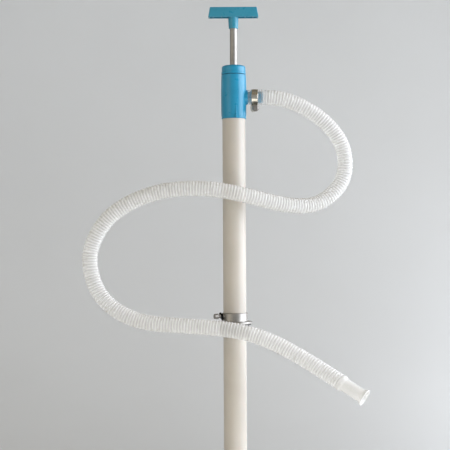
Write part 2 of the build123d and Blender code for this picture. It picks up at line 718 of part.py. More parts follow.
with BuildPart() as hose_nozzle:
    with BuildSketch(nozzle_side):
        with BuildLine():
            Polyline(
                (NOZZLE_BORE_R, 0),
                (HOSE_R - 0.2, 0),
                (HOSE_R - 0.2, -3),
                (NOZZLE_R, -NOZZLE_SHOULDER),
                (NOZZLE_R, -(NOZZLE_LENGTH - 2 * NOZZLE_RIM_THICKNESS)),
                (NOZZLE_RIM_R, -(NOZZLE_LENGTH - NOZZLE_RIM_THICKNESS)),
                (NOZZLE_RIM_R, -NOZZLE_LENGTH),
                (NOZZLE_R + 0.6, -NOZZLE_LENGTH),
                (NOZZLE_BORE_R, -(NOZZLE_LENGTH - 4)),
                close=True,
            )
        make_face()
    revolve(axis=Axis(corners[-1], nozzle_dir))
save(hose_nozzle.part, "hose_nozzle")
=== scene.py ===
"""Looks of a drum barrel pump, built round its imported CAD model.

The pump stands upright in the frame: +Z runs up the tube, +X is the outlet's side and the
origin is on the tube's axis at the seat of the drum adaptor. Shapes are given in millimetres
and turned to metres when a piece is put in its place.
"""

import json
from math import cos, pi, radians, sin

import bmesh
import bpy
from mathutils import Matrix, Vector


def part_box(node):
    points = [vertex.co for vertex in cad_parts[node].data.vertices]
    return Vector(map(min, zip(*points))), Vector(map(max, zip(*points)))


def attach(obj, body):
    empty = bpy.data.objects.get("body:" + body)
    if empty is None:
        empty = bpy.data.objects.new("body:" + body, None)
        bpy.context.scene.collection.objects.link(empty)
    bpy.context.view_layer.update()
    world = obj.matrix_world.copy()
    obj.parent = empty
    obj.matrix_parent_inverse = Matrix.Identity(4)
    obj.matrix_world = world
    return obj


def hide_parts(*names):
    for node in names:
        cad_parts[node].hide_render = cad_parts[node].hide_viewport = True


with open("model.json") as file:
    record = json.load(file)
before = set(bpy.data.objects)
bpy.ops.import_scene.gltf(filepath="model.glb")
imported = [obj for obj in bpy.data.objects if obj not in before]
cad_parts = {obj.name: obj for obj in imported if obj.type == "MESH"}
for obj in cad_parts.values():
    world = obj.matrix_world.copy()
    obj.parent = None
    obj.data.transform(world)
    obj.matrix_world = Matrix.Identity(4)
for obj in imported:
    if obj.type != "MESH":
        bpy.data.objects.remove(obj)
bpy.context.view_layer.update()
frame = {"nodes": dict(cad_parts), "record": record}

bl_info = {
    "name": "Drum Barrel Pump",
    "version": (1, 0, 0),
    "blender": (4, 5, 0),
    "location": "3D View > Sidebar > Pump",
    "description": "Builds the visible pieces of a hand pump for drums round its CAD model",
    "category": "Object",
}

MM = 0.001

# The hose's way from the spigot to its nozzle: out to the right, back across the front of the
# tube, round to the left, and forward past the adaptor to the lower right.
HOSE_ROUTE = [
    (0.041, 0.000, 0.316),
    (0.059, 0.000, 0.316),
    (0.090, 0.002, 0.307),
    (0.125, 0.008, 0.286),
    (0.151, 0.014, 0.256),
    (0.158, 0.017, 0.223),
    (0.150, 0.014, 0.192),
    (0.117, 0.003, 0.165),
    (0.073, -0.015, 0.164),
    (0.014, -0.033, 0.179),
    (-0.031, -0.036, 0.188),
    (-0.077, -0.035, 0.188),
    (-0.112, -0.033, 0.182),
    (-0.151, -0.031, 0.166),
    (-0.180, -0.029, 0.142),
    (-0.198, -0.027, 0.107),
    (-0.198, -0.028, 0.077),
    (-0.186, -0.030, 0.044),
    (-0.160, -0.035, 0.020),
    (-0.122, -0.041, 0.005),
    (-0.062, -0.049, 0.002),
    (-0.001, -0.055, -0.003),
    (0.043, -0.060, -0.015),
    (0.095, -0.069, -0.043),
    (0.138, -0.090, -0.070),
]


def corners(node):
    """Lowest and highest corner of a CAD node, in millimetres."""
    low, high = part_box(node)
    return low / MM, high / MM


# ---------------------------------------------------------------- sizes taken from the frame
TUBE_HIGH = corners("pump_tube")[1]
HEAD_LOW, HEAD_HIGH = corners("pump_head")
CAP_LOW, CAP_HIGH = corners("head_cap")
BAR_LOW, BAR_HIGH = corners("t_handle")
ROD_HIGH = corners("piston_rod")[1]
ADAPTOR_LOW, ADAPTOR_HIGH = corners("drum_adaptor")
CUFF_LOW, CUFF_HIGH = corners("hose_inlet_cuff")
BAND_LOW, BAND_HIGH = corners("hose_clamp_band")
STRAINER_LOW, STRAINER_HIGH = corners("foot_strainer")
GASKET_HIGH = corners("adaptor_gasket")[1]

ROD_R = ROD_HIGH.x
SPIGOT_Z = (CUFF_LOW.z + CUFF_HIGH.z) / 2
CLAMP_TURN = radians(205)  # the way the clamping screw points from the tube
CLAMP_AXIS = Vector((cos(CLAMP_TURN), sin(CLAMP_TURN), 0))
CLAMP_Z = 12.5
CLAMP_HOLE_R = 2.55
COLLAR_BORE_R = 16.3  # of the adaptor, round the sliding tube
WORM_SKEW = radians(12)  # the hose clamp's housing sits a little askew on its band
WORM_AXIS = Vector((sin(WORM_SKEW), -cos(WORM_SKEW), 0))
WORM_HALF = 6.5  # half the length of the worm's housing


# ---------------------------------------------------------------- colours
def linear(hex_colour):
    """An sRGB hex colour as linear red, green and blue."""
    channels = [int(hex_colour[i : i + 2], 16) / 255 for i in (1, 3, 5)]
    return tuple(c / 12.92 if c <= 0.04045 else ((c + 0.055) / 1.055) ** 2.4 for c in channels)


def colour_property(name, description, hex_colour):
    """A colour that a user can change, kept as linear values."""
    return bpy.props.FloatVectorProperty(
        name=name, description=description, default=linear(hex_colour), size=3, min=0, max=1, subtype="COLOR"
    )


def number_property(name, description, default, unit):
    """A length or a power that a user can change."""
    return bpy.props.FloatProperty(name=name, description=description, default=default, unit=unit)


class PumpHoseSettings(bpy.types.PropertyGroup):
    """Sizes and colour of the delivery hose"""

    pitch: number_property("Rib Pitch", "From one rib of the hose to the next", 3.9 * MM, "LENGTH")
    depth: number_property("Rib Depth", "From a rib's crest to its root", 0.85 * MM, "LENGTH")
    wall: number_property("Wall", "Thickness of the hose's wall", 0.8 * MM, "LENGTH")
    radius: number_property("Radius", "Radius over the ribs", 11.0 * MM, "LENGTH")
    colour: colour_property("Colour", "Milky tint of the clear PVC", "#FBFBF9")


class PumpBodySettings(bpy.types.PropertyGroup):
    """Colours of the pump's mouldings and its pipe"""

    head: colour_property("Head", "Blue of the head and its cap", "#2090B7")
    handle: colour_property("Handle", "Blue-green of the T-handle", "#3691AC")
    pipe: colour_property("Pipe", "Pale grey of the pump tube", "#C8C2B8")


class PumpStageSettings(bpy.types.PropertyGroup):
    """Light and backdrop"""

    backdrop: colour_property("Backdrop", "Paint of the floor and the wall", "#DCDEDF")
    key: number_property("Key Light", "Power of the large light at the right", 93.0, "POWER")
    fill: number_property("Fill Light", "Power of the weak light at the left", 8.0, "POWER")


# ---------------------------------------------------------------- nodes
def add(tree, kind, inputs=None, **settings):
    """Adds a node with its settings; an input is a value, or a socket to link it to."""
    made = tree.nodes.new(kind)
    for name, value in settings.items():
        setattr(made, name, value)
    for name, value in (inputs or {}).items():
        if isinstance(value, bpy.types.NodeSocket):
            tree.links.new(value, made.inputs[name])
        else:
            made.inputs[name].default_value = value
    return made


def start_material(name):
    """An empty material with a Principled shader on its output."""
    material = bpy.data.materials.new(name)
    material.use_nodes = True
    tree = material.node_tree
    tree.nodes.clear()
    shader = add(tree, "ShaderNodeBsdfPrincipled")
    add(tree, "ShaderNodeOutputMaterial", {"Surface": shader.outputs["BSDF"]})
    place = add(tree, "ShaderNodeTexCoord").outputs["Object"]
    return material, tree, shader, place


def mottle(tree, place, size, low, high, detail=3.0):
    """A cloudy number from low to high, with patches of the given size in millimetres."""
    clouds = add(tree, "ShaderNodeTexNoise", {"Vector": place, "Scale": 1 / (size * MM), "Detail": detail})
    return add(
        tree,
        "ShaderNodeMapRange",
        {"Value": clouds.outputs["Fac"], "From Min": 0.3, "From Max": 0.7, "To Min": low, "To Max": high},
        clamp=False,
    ).outputs["Result"]


def stretched(tree, place, along):
    """Coordinates pressed together along an axis, so that a pattern on them runs along it."""
    squeeze = [0.02 if axis == along else 1.0 for axis in "XYZ"]
    return add(tree, "ShaderNodeMapping", {"Vector": place, "Scale": squeeze}).outputs["Vector"]


def mix_colours(tree, share, dark, light):
    """A colour between two, by a number from 0 to 1."""
    ends = {0: share, 6: (*dark, 1), 7: (*light, 1)}
    return add(tree, "ShaderNodeMix", ends, data_type="RGBA").outputs[2]


def scaled(colour, factor):
    """A colour made lighter or darker."""
    return tuple(min(c * factor, 1) for c in colour)


def fix(shader, constants):
    """Sets constants on the shader's own sockets."""
    for name, value in constants.items():
        shader.inputs[name].default_value = value


def coat(tree, shader, place, patch, dark, light, gloss):
    """Gives the shader its roughness, and a colour that drifts between two in patches."""
    shade = mix_colours(tree, mottle(tree, place, patch, 0, 1), dark, light)
    tree.links.new(shade, shader.inputs["Base Color"])
    tree.links.new(gloss, shader.inputs["Roughness"])


def emboss(tree, shader, height, strength, distance):
    """Gives the shader a relief with a depth in metres."""
    bump = add(tree, "ShaderNodeBump", {"Height": height, "Strength": strength, "Distance": distance})
    tree.links.new(bump.outputs["Normal"], shader.inputs["Normal"])


# ---------------------------------------------------------------- materials
def moulded_polypropylene(name, colour):
    """Injection-moulded polypropylene: even pigment, a soft gloss, the mould's faint orange peel."""
    material, tree, shader, place = start_material(name)
    gloss = mottle(tree, place, 6, 0.26, 0.36)
    coat(tree, shader, place, 22, scaled(colour, 0.93), scaled(colour, 1.05), gloss)
    fix(shader, {"IOR": 1.49})
    # The mould's grain is about 0.3 mm; it is drawn at 1.8 mm so that it holds from afar.
    emboss(tree, shader, mottle(tree, place, 1.8, 0, 1, detail=1.0), 0.15, 0.00004)
    return material


def extruded_pipe(name, colour):
    """Extruded rigid pipe: satin, with fine lengthwise lines from the die and a faintly uneven tone."""
    material, tree, shader, place = start_material(name)
    along = stretched(tree, place, "Z")
    gloss = mottle(tree, along, 1.6, 0.33, 0.46)
    coat(tree, shader, place, 35, scaled(colour, 0.96), scaled(colour, 1.03), gloss)
    fix(shader, {"IOR": 1.52, "Subsurface Weight": 0.06, "Subsurface Scale": 0.002})
    emboss(tree, shader, mottle(tree, along, 0.8, 0, 1, detail=2.0), 0.2, 0.00004)
    return material


# Colour, roughness, axis of the lines, their size in millimetres, and strength of their relief.
METALS = {
    # Drawn and polished rod: satin, streaked along its length.
    "drawn_stainless_steel": ("#A7A49F", 0.5, "Z", 1.2, 0.03),
    # Cold-rolled strip: bright, with soft brushing round the band.
    "rolled_stainless_steel": ("#C9C6BC", 0.24, "Y", 0.6, 0.15),
    # Turned steel under bright zinc: a cool grey with cloudy gloss.
    "zinc_plated_steel": ("#A29F9A", 0.44, None, 1.5, 0.04),
    # Steel blackened in a salt bath: near black, with a dull oily gloss.
    "black_oxide_steel": ("#26282B", 0.38, None, 1.0, 0.15),
    # Turned brass: warm yellow with fine turning marks.
    "turned_brass": ("#C9A656", 0.28, None, 0.8, 0.15),
}


def worked_metal(name):
    """Metal with the lines of its drawing, turning or brushing; its gloss changes with them."""
    hex_colour, roughness, along, line_size, relief = METALS[name]
    colour = linear(hex_colour)
    material, tree, shader, place = start_material(name)
    lined = stretched(tree, place, along) if along else place
    fix(shader, {"Metallic": 1.0})
    gloss = mottle(tree, lined, line_size, roughness * 0.8, roughness * 1.25)
    coat(tree, shader, place, 9, scaled(colour, 0.9), scaled(colour, 1.06), gloss)
    emboss(tree, shader, mottle(tree, lined, line_size / 2, 0, 1, detail=2.0), relief, 0.00003)
    return material


def nitrile_rubber():
    """Moulded nitrile rubber: matt black with a dusty grain."""
    material, tree, shader, place = start_material("nitrile_rubber")
    gloss = mottle(tree, place, 1.5, 0.55, 0.75)
    coat(tree, shader, place, 3, linear("#1B1C1E"), linear("#2C2D2F"), gloss)
    emboss(tree, shader, mottle(tree, place, 0.7, 0, 1), 0.3, 0.00005)
    return material


def turned_acetal():
    """Acetal turned on a lathe: creamy white, waxy, with the tool's fine rings."""
    material, tree, shader, place = start_material("turned_acetal")
    gloss = mottle(tree, place, 2, 0.34, 0.48)
    coat(tree, shader, place, 8, linear("#E3E1DA"), linear("#EFEDE7"), gloss)
    fix(shader, {"Subsurface Weight": 0.1, "Subsurface Scale": 0.001})
    turning = {"Vector": place, "Scale": 1 / (3.5 * MM), "Distortion": 0.4}
    rings = add(tree, "ShaderNodeTexWave", turning, bands_direction="Z")
    emboss(tree, shader, rings.outputs["Fac"], 0.15, 0.00003)
    return material


def ground_glass():
    """Ball of ground glass: clear, with a silky surface."""
    material, tree, shader, place = start_material("ground_glass")
    gloss = mottle(tree, place, 0.8, 0.12, 0.22)
    coat(tree, shader, place, 5, linear("#DDE8EA"), linear("#EEF4F5"), gloss)
    fix(shader, {"Transmission Weight": 1.0, "IOR": 1.52})
    return material


def clear_pvc(name, colour, thin, thick):
    """Plasticised clear PVC, glossy: milky edge on, see-through where it faces the eye."""
    material, tree, shader, place = start_material(name)
    fix(shader, {"Base Color": (*colour, 1), "IOR": 1.53})
    tree.links.new(mottle(tree, place, 4, 0.16, 0.28), shader.inputs["Roughness"])
    edge = add(tree, "ShaderNodeLayerWeight", {"Blend": 0.35}).outputs["Facing"]
    body = add(tree, "ShaderNodeMapRange", {"Value": edge, "To Min": thin, "To Max": thick})
    shares = {0: body.outputs["Result"], 1: mottle(tree, place, 12, 0.94, 1.06)}
    alpha = add(tree, "ShaderNodeMath", shares, operation="MULTIPLY", use_clamp=True)
    tree.links.new(alpha.outputs["Value"], shader.inputs["Alpha"])
    return material


def ribbed_pvc(colour):
    """Clear PVC blown into ribs: each crest is drawn more opaque, as a white ring over a clearer root, and
    each root has painted shade.
    """
    material, tree, shader, place = start_material("ribbed_clear_pvc")
    crest = add(tree, "ShaderNodeAttribute", attribute_name="rib_height").outputs["Fac"]
    # Painted shade: the roots between ribs are coloured 6% darker than the crests, in place of the shadow and
    # refraction in the valleys.
    shade = mix_colours(tree, crest, scaled(colour, 0.94), colour)
    tree.links.new(shade, shader.inputs["Base Color"])
    milky = {"Subsurface Weight": 0.7, "Subsurface Radius": (1, 1, 1), "Subsurface Scale": 0.003}
    fix(shader, {"IOR": 1.53, **milky})
    tree.links.new(mottle(tree, place, 4, 0.36, 0.48), shader.inputs["Roughness"])
    edge = add(tree, "ShaderNodeLayerWeight", {"Blend": 0.4}).outputs["Facing"]
    by_edge = add(tree, "ShaderNodeMapRange", {"Value": edge, "To Min": 0.21, "To Max": 0.6})
    by_rib = add(tree, "ShaderNodeMapRange", {"Value": crest, "To Min": 0.0, "To Max": 0.13})
    shares = {0: by_edge.outputs["Result"], 1: by_rib.outputs["Result"]}
    alpha = add(tree, "ShaderNodeMath", shares, operation="ADD", use_clamp=True)
    tree.links.new(alpha.outputs["Value"], shader.inputs["Alpha"])
    return material


def backdrop_paint(colour):
    """Matt wall paint, rolled on: an almost even pale grey."""
    material, tree, shader, place = start_material("backdrop_paint")
    tint = mottle(tree, place, 900, 0, 1)
    shade = mix_colours(tree, tint, scaled(colour, 0.98), scaled(colour, 1.02))
    tree.links.new(shade, shader.inputs["Base Color"])
    fix(shader, {"Roughness": 0.9})
    return material


# ---------------------------------------------------------------- meshes
def show(made):
    """Puts an object into the scene."""
    bpy.context.scene.collection.objects.link(made)
    return made


def mesh_object(name, bm):
    """Puts a bmesh into the scene, with its faces turned outwards."""
    bmesh.ops.remove_doubles(bm, verts=bm.verts, dist=1e-5)
    bmesh.ops.recalc_face_normals(bm, faces=bm.faces)
    mesh = bpy.data.meshes.new(name)
    bm.to_mesh(mesh)
    bm.free()
    return show(bpy.data.objects.new(name, mesh))


def lathe(name, outline, sides=96):
    """A solid turned round local Z from a closed outline of (radius, height) points."""
    bm = bmesh.new()
    rows = []
    for step in range(sides):
        turn = 2 * pi * step / sides
        rows.append([bm.verts.new((r * cos(turn), r * sin(turn), h)) for r, h in outline])
    for row, following in zip(rows, rows[1:] + rows[:1]):
        for i in range(len(outline)):
            j = (i + 1) % len(outline)
            if outline[i][0] + outline[j][0] > 0:
                bm.faces.new((row[i], row[j], following[j], following[i]))
    return mesh_object(name, bm)


def prism(name, outline, low, high, top_scale=1.0):
    """A straight or tapering solid on a closed outline of (x, y) points, from one height to another."""
    bm = bmesh.new()
    floor = [bm.verts.new((x, y, low)) for x, y in outline]
    roof = [bm.verts.new((x * top_scale, y * top_scale, high)) for x, y in outline]
    bm.faces.new(floor)
    bm.faces.new(roof)
    for i in range(len(outline)):
        j = (i + 1) % len(outline)
        bm.faces.new((floor[i], floor[j], roof[j], roof[i]))
    return mesh_object(name, bm)


def cylinder(name, radius, low, high, sides):
    """A cylinder round local Z, as a tool for cutting and joining."""
    return lathe(name, [(0, low), (radius, low), (radius, high), (0, high)], sides)


def block(name, low, high):
    """A box between two corners, as a tool for cutting and joining."""
    outline = [(low[0], low[1]), (high[0], low[1]), (high[0], high[1]), (low[0], high[1])]
    return prism(name, outline, low[2], high[2])


def rounded_bar(length, width, steps=12):
    """The outline of a bar with round ends, along X."""
    half = (length - width) / 2
    ends = []
    for side in (1, -1):
        for step in range(steps + 1):
            turn = pi * step / steps - pi / 2
            ends.append((side * (half + width / 2 * cos(turn)), side * width / 2 * sin(turn)))
    return ends


def arc(centre_r, centre_h, radius, start, end, steps=6):
    """Outline points on an arc, from one angle to another in degrees."""
    turns = [radians(start + (end - start) * step / steps) for step in range(steps + 1)]
    return [(centre_r + radius * cos(t), centre_h + radius * sin(t)) for t in turns]


def plain(piece):
    """Makes what the piece's modifiers give its plain mesh, and removes them."""
    bpy.context.view_layer.update()
    view = bpy.context.evaluated_depsgraph_get()
    name = piece.name
    mesh = bpy.data.meshes.new_from_object(
        piece.evaluated_get(view), preserve_all_data_layers=True, depsgraph=view
    )
    mesh.name = name
    if piece.type == "MESH":
        piece.modifiers.clear()
        piece.data = mesh
        return piece
    bpy.data.objects.remove(piece)
    return show(bpy.data.objects.new(name, mesh))


def combine(piece, *tools, operation="UNION"):
    """Joins tools to the piece, or does another operation with them; the tools are used up."""
    for tool in tools:
        join = piece.modifiers.new("combine", "BOOLEAN")
        join.operation = operation
        join.solver = "EXACT"
        join.object = tool
        plain(piece)
        bpy.data.objects.remove(tool)
    return piece


def cut(piece, *tools):
    """Cuts tools from the piece; the tools are used up."""
    return combine(piece, *tools, operation="DIFFERENCE")


def soften(piece, width, segments=3, angle=30):
    """Rounds the piece's sharp edges by a width in millimetres."""
    bevel = piece.modifiers.new("soften", "BEVEL")
    bevel.width = width
    bevel.segments = segments
    bevel.limit_method = "ANGLE"
    bevel.angle_limit = radians(angle)
    return plain(piece)


def put(piece, matrix):
    """Moves the piece's mesh by a matrix."""
    piece.data.transform(matrix)
    piece.data.update()
    return piece


def on_axis(direction, origin=(0, 0, 0)):
    """The matrix that turns local Z to a direction and moves it to an origin, in millimetres."""
    turned = Vector(direction).to_track_quat("Z", "X").to_matrix().to_4x4()
    return Matrix.Translation(origin) @ turned


CLAMP_PLACE = on_axis(CLAMP_AXIS, (0, 0, CLAMP_Z))
SPIGOT_PLACE = on_axis((1, 0, 0), (0, 0, SPIGOT_Z))


def fit_out(piece, material, body, slot, *nodes):
    """Turns a piece made in millimetres to metres, and gives it what a finished piece has."""
    piece.data.transform(Matrix.Scale(MM, 4))
    dress(piece, material)
    piece.data.shade_smooth()
    piece.data.set_sharp_from_angle(angle=radians(32))
    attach(piece, body)
    if nodes:
        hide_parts(*nodes)
    return piece


def dress(piece, material):
    """Gives the whole piece one material."""
    piece.data.materials.clear()
    piece.data.materials.append(material)


# ---------------------------------------------------------------- geometry trees
def start_geometry_tree(name, inputs):
    """A geometry tree with inputs of the given names and defaults, and one for the material."""
    kinds = {float: "Float", int: "Int", tuple: "Vector"}
    tree = bpy.data.node_groups.new(name, "GeometryNodeTree")
    tree.interface.new_socket("Geometry", in_out="INPUT", socket_type="NodeSocketGeometry")
    for label, default in inputs.items():
        kind = "NodeSocket" + kinds[type(default)]
        tree.interface.new_socket(label, in_out="INPUT", socket_type=kind).default_value = default
    tree.interface.new_socket("Material", in_out="INPUT", socket_type="NodeSocketMaterial")
    tree.interface.new_socket("Geometry", in_out="OUTPUT", socket_type="NodeSocketGeometry")
    return tree, tree.nodes.new("NodeGroupInput").outputs


def end_geometry_tree(tree, given, shape):
    """Realizes the instances, sets the material and ends the tree."""
    real = add(tree, "GeometryNodeRealizeInstances", {"Geometry": shape})
    dressed = {"Geometry": real.outputs["Geometry"], "Material": given["Material"]}
    finished = add(tree, "GeometryNodeSetMaterial", dressed)
    add(tree, "NodeGroupOutput", {"Geometry": finished.outputs["Geometry"]})


def end_with_tool(tree, given, tool, operation):
    """Joins a tool to the tree's piece or cuts it out, and ends the tree."""
    made = add(tree, "GeometryNodeMeshBoolean", operation=operation, solver="EXACT")
    target = "Mesh 1" if operation == "DIFFERENCE" else "Mesh 2"
    tree.links.new(given["Geometry"], made.inputs[target])
    tree.links.new(tool, made.inputs["Mesh 2"])
    end_geometry_tree(tree, given, made.outputs["Mesh"])


def raised(tree, shape, height):
    """The shape moved up by a height."""
    lift = add(tree, "ShaderNodeCombineXYZ", {"Z": height}).outputs[0]
    move = add(tree, "GeometryNodeTransform", {"Geometry": shape, "Translation": lift})
    return move.outputs["Geometry"]


def grow(piece, tree_name, **inputs):
    """Runs a tree on the piece, with inputs named in lower case, and keeps the result as its mesh."""
    tree = bpy.data.node_groups[tree_name]
    growth = piece.modifiers.new(tree_name, "NODES")
    growth.node_group = tree
    for item in tree.interface.items_tree:
        wanted = item.name.lower().replace(" ", "_")
        if item.in_out == "INPUT" and wanted in inputs:
            growth[item.identifier] = inputs[wanted]
    return plain(piece)


def ribbed_hose_tree():
    """Sweeps a ring along a curve, wider at each rib and narrower between them."""
    tree, given = start_geometry_tree(
        "ribbed_hose", {"Pitch": 0.004, "Radius": 0.011, "Depth": 0.001, "Rings": 6.0, "Sides": 28}
    )
    step = add(tree, "ShaderNodeMath", {0: given["Pitch"], 1: given["Rings"]}, operation="DIVIDE")
    line = add(
        tree,
        "GeometryNodeResampleCurve",
        {"Curve": given["Geometry"], "Length": step.outputs["Value"]},
        mode="LENGTH",
    )
    run = add(tree, "GeometryNodeSplineParameter").outputs["Length"]
    ribs = add(tree, "ShaderNodeMath", {0: run, 1: given["Pitch"]}, operation="DIVIDE").outputs["Value"]
    turn = add(tree, "ShaderNodeMath", {0: ribs, 1: 2 * pi}, operation="MULTIPLY").outputs["Value"]
    wave = add(tree, "ShaderNodeMath", {0: turn}, operation="COSINE").outputs["Value"]
    rise = add(tree, "ShaderNodeMapRange", {"Value": wave, "From Min": -1, "From Max": 1}).outputs["Result"]
    crest = add(tree, "ShaderNodeMath", {0: rise, 1: 1.4}, operation="POWER").outputs["Value"]
    root = add(
        tree, "ShaderNodeMath", {0: given["Radius"], 1: given["Depth"]}, operation="SUBTRACT"
    ).outputs["Value"]
    radius = add(
        tree, "ShaderNodeMath", {0: crest, 1: given["Depth"], 2: root}, operation="MULTIPLY_ADD"
    ).outputs["Value"]
    marked = add(
        tree,
        "GeometryNodeStoreNamedAttribute",
        {"Geometry": line.outputs["Curve"], "Name": "rib_height", "Value": crest},
        data_type="FLOAT",
        domain="POINT",
    )
    ring = add(tree, "GeometryNodeCurvePrimitiveCircle", {"Resolution": given["Sides"], "Radius": 1.0})
    tube = add(
        tree,
        "GeometryNodeCurveToMesh",
        {"Curve": marked.outputs["Geometry"], "Profile Curve": ring.outputs["Curve"], "Scale": radius},
    )
    end_geometry_tree(tree, given, tube.outputs["Mesh"])


def thread_tree():
    """Winds a V-shaped ridge round local Z and joins it to the piece."""
    tree, given = start_geometry_tree(
        "thread",
        {"Turns": 6.0, "Root Radius": 19.8, "Length": 14.0, "Bottom": -15.0, "Ridge": 1.15, "Steps": 64},
    )
    spiral = add(
        tree,
        "GeometryNodeCurveSpiral",
        {
            "Resolution": given["Steps"],
            "Rotations": given["Turns"],
            "Start Radius": given["Root Radius"],
            "End Radius": given["Root Radius"],
            "Height": given["Length"],
        },
    )
    upright = add(tree, "GeometryNodeSetCurveNormal", {"Curve": spiral.outputs["Curve"]}, mode="Z_UP")
    section = add(tree, "GeometryNodeCurvePrimitiveCircle", {"Resolution": 4, "Radius": given["Ridge"]})
    ridge = add(
        tree,
        "GeometryNodeCurveToMesh",
        {"Curve": upright.outputs["Curve"], "Profile Curve": section.outputs["Curve"], "Fill Caps": True},
    )
    end_with_tool(tree, given, raised(tree, ridge.outputs["Mesh"], given["Bottom"]), "UNION")


def ring_cut_tree():
    """Cuts a ring of equal blocks out of the piece, round local Z."""
    tree, given = start_geometry_tree(
        "ring_of_cuts", {"Count": 12, "Ring Radius": 10.0, "Height": 0.0, "Block": (1.0, 1.0, 1.0)}
    )
    ring = add(tree, "GeometryNodeMeshCircle", {"Vertices": given["Count"], "Radius": given["Ring Radius"]})
    outward = add(tree, "FunctionNodeAlignRotationToVector", axis="X")
    tree.links.new(add(tree, "GeometryNodeInputPosition").outputs["Position"], outward.inputs["Vector"])
    cutter = add(tree, "GeometryNodeMeshCube", {"Size": given["Block"]})
    copies = add(
        tree,
        "GeometryNodeInstanceOnPoints",
        {
            "Points": ring.outputs["Mesh"],
            "Instance": cutter.outputs["Mesh"],
            "Rotation": outward.outputs["Rotation"],
        },
    )
    cuts = raised(tree, copies.outputs["Instances"], given["Height"])
    real = add(tree, "GeometryNodeRealizeInstances", {"Geometry": cuts})
    end_with_tool(tree, given, real.outputs["Geometry"], "DIFFERENCE")


def rib_row_tree():
    """Joins a row of equal ribs to the piece, along local X."""
    tree, given = start_geometry_tree(
        "rib_row", {"Count": 6, "Pitch": 11.0, "Height": 0.0, "Rib": (1.6, 10.0, 10.0)}
    )
    gaps = add(tree, "ShaderNodeMath", {0: given["Count"], 1: 1.0}, operation="SUBTRACT").outputs["Value"]
    length = add(tree, "ShaderNodeMath", {0: gaps, 1: given["Pitch"]}, operation="MULTIPLY").outputs["Value"]
    first = add(tree, "ShaderNodeMath", {0: length, 1: -0.5}, operation="MULTIPLY").outputs["Value"]
    start = add(tree, "ShaderNodeCombineXYZ", {"X": first, "Z": given["Height"]})
    step = add(tree, "ShaderNodeCombineXYZ", {"X": given["Pitch"]})
    row = add(
        tree,
        "GeometryNodeMeshLine",
        {"Count": given["Count"], "Start Location": start.outputs[0], "Offset": step.outputs[0]},
    )
    rib = add(tree, "GeometryNodeMeshCube", {"Size": given["Rib"]})
    copies = add(
        tree, "GeometryNodeInstanceOnPoints", {"Points": row.outputs["Mesh"], "Instance": rib.outputs["Mesh"]}
    )
    real = add(tree, "GeometryNodeRealizeInstances", {"Geometry": copies.outputs["Instances"]})
    end_with_tool(tree, given, real.outputs["Geometry"], "UNION")


# ---------------------------------------------------------------- operators
class PUMP_OT_stage(bpy.types.Operator):
    """Sets up the camera, the soft lights and the pale backdrop"""

    bl_idname = "pump.stage"
    bl_label = "Stage"

    def execute(self, context):
        settings = context.scene.pump_stage
        scene = context.scene
        scene.view_settings.view_transform = "Standard"
        self.add_camera(scene)
        self.add_lamp("key_light", (2.2, -0.35, 0.7), (0, -0.35, 0.1), (3.0, 1.7), settings.key, "#F0F5FF")
        self.add_lamp("fill_light", (-1.8, -1.6, 0.9), (0, 0, 0.1), (1.6, 1.6), settings.fill, "#FFEFD6")
        self.add_lamp("wall_light", (2.0, 2.2, -0.1), (0.8, 4.2, 0.1), (1.2, 1.2), 44.0, "#F4F8FF")
        self.add_lamp("bounce_light", (0.1, -0.75, -0.42), (0.1, 0, 0), (0.7, 0.5), 2.3, "#FFF9EE")
        world = bpy.data.worlds.new("studio")
        world.use_nodes = True
        world.node_tree.nodes["Background"].inputs["Color"].default_value = (*linear("#E8D9BE"), 1)
        world.node_tree.nodes["Background"].inputs["Strength"].default_value = 0.38
        scene.world = world
        room = 4200.0
        bend = 1900.0
        drop = 120.0  # the pump slides this far down in the adaptor, and the floor is under that
        low = STRAINER_LOW.z - drop - 6
        outline = [(0, low), *arc(room - bend, low + bend, bend, -90, 0, 12), (room, 3200)]
        outline += [(room + 20, 3200), (room + 20, low - 20), (0, low - 20)]
        backdrop = lathe("backdrop", outline, 128)
        backdrop.data.transform(Matrix.Scale(MM, 4))
        backdrop.data.shade_smooth()
        backdrop.data.set_sharp_from_angle(angle=radians(40))
        dress(backdrop, backdrop_paint(settings.backdrop))
        return {"FINISHED"}

    def add_camera(self, scene):
        """Looks level at the upper half of the pump, with the small tilt of a camera held by hand."""
        camera = show(bpy.data.objects.new("camera", bpy.data.cameras.new("camera")))
        camera.data.lens = 94.4
        camera.data.sensor_width = 36
        camera.location = (-0.01302, -1.64, 0.1122)
        tilt, lean = 0.922, -0.288  # degrees up from level, and to the side
        upward = Matrix.Rotation(radians(90 + tilt), 4, "X")
        roll = Matrix.Rotation(radians(lean), 4, "Z")
        camera.matrix_world = Matrix.Translation(camera.location) @ upward @ roll
        scene.camera = camera

    def add_lamp(self, name, place, target, size, power, colour):
        """A soft rectangular light that the camera doesn't see."""
        lamp = bpy.data.lights.new(name, "AREA")
        lamp.shape = "RECTANGLE"
        lamp.size, lamp.size_y = size
        lamp.energy = power
        lamp.color = linear(colour)
        made = bpy.data.objects.new(name, lamp)
        made.matrix_world = Matrix.Translation(place) @ (
            (Vector(target) - Vector(place)).to_track_quat("-Z", "Y").to_matrix().to_4x4()
        )
        made.visible_camera = False
        show(made)


